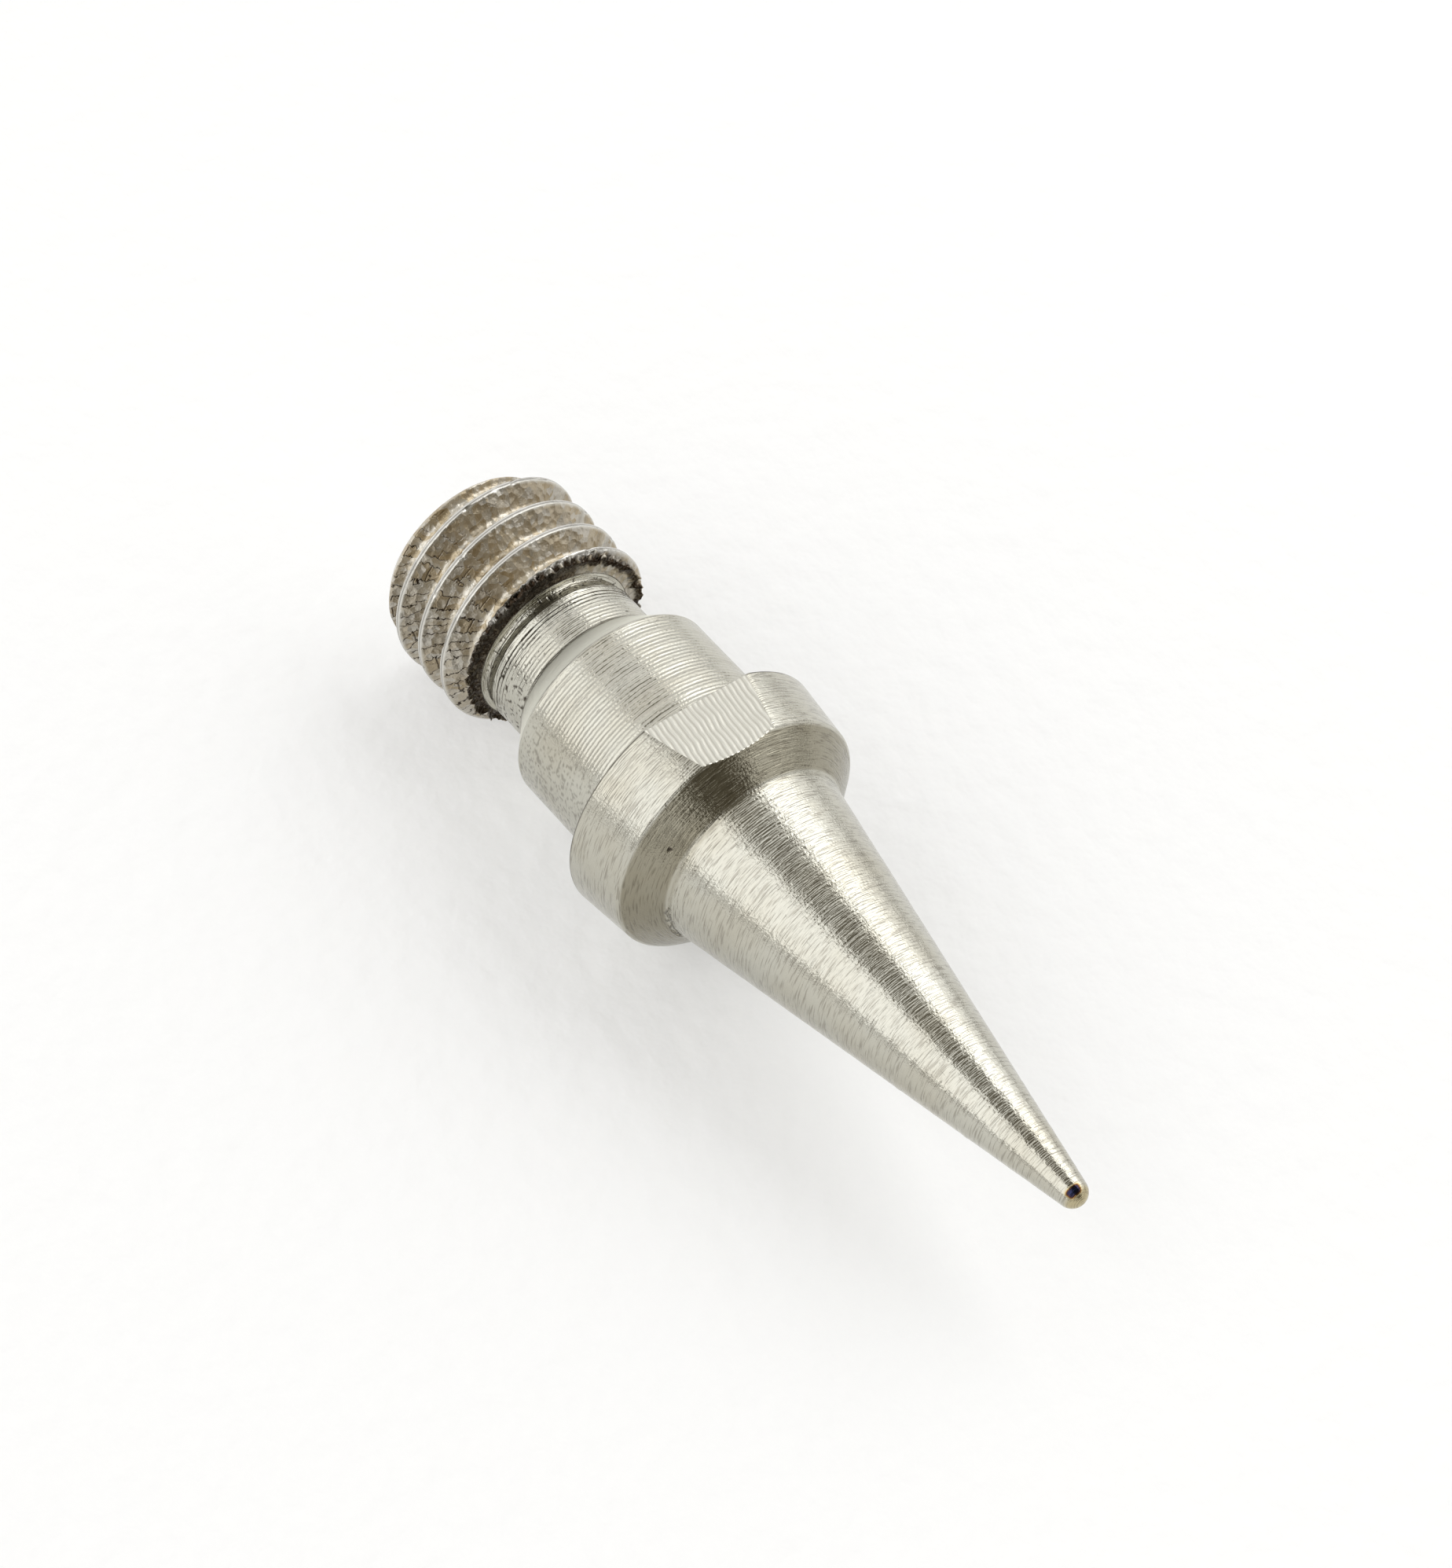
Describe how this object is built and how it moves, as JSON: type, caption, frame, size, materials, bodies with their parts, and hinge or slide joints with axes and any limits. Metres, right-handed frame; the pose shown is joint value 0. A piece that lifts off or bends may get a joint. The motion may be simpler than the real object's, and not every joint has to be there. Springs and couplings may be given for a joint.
{
  "type": "live center point",
  "caption": "Slender round-nosed turning point with a flatted collar, a plain pilot and a short threaded tail that screws into a live center's spindle.",
  "frame": {"origin": "on the axis, in the plane of the collar's rear face, where the point seats against the spindle", "axes": "+X along the axis towards the tip, with the thread at -X; +Z is the outward normal of one wrench flat"},
  "size_m": [0.0253, 0.0076, 0.007],
  "materials": {
    "stainless_steel": "bright stainless steel as turned, with fine tool marks round the axis, milled wrench flats and a slightly torn thread"
  },
  "bodies": {
    "root": {"center_point": "stainless_steel"}
  },
  "joints": []
}
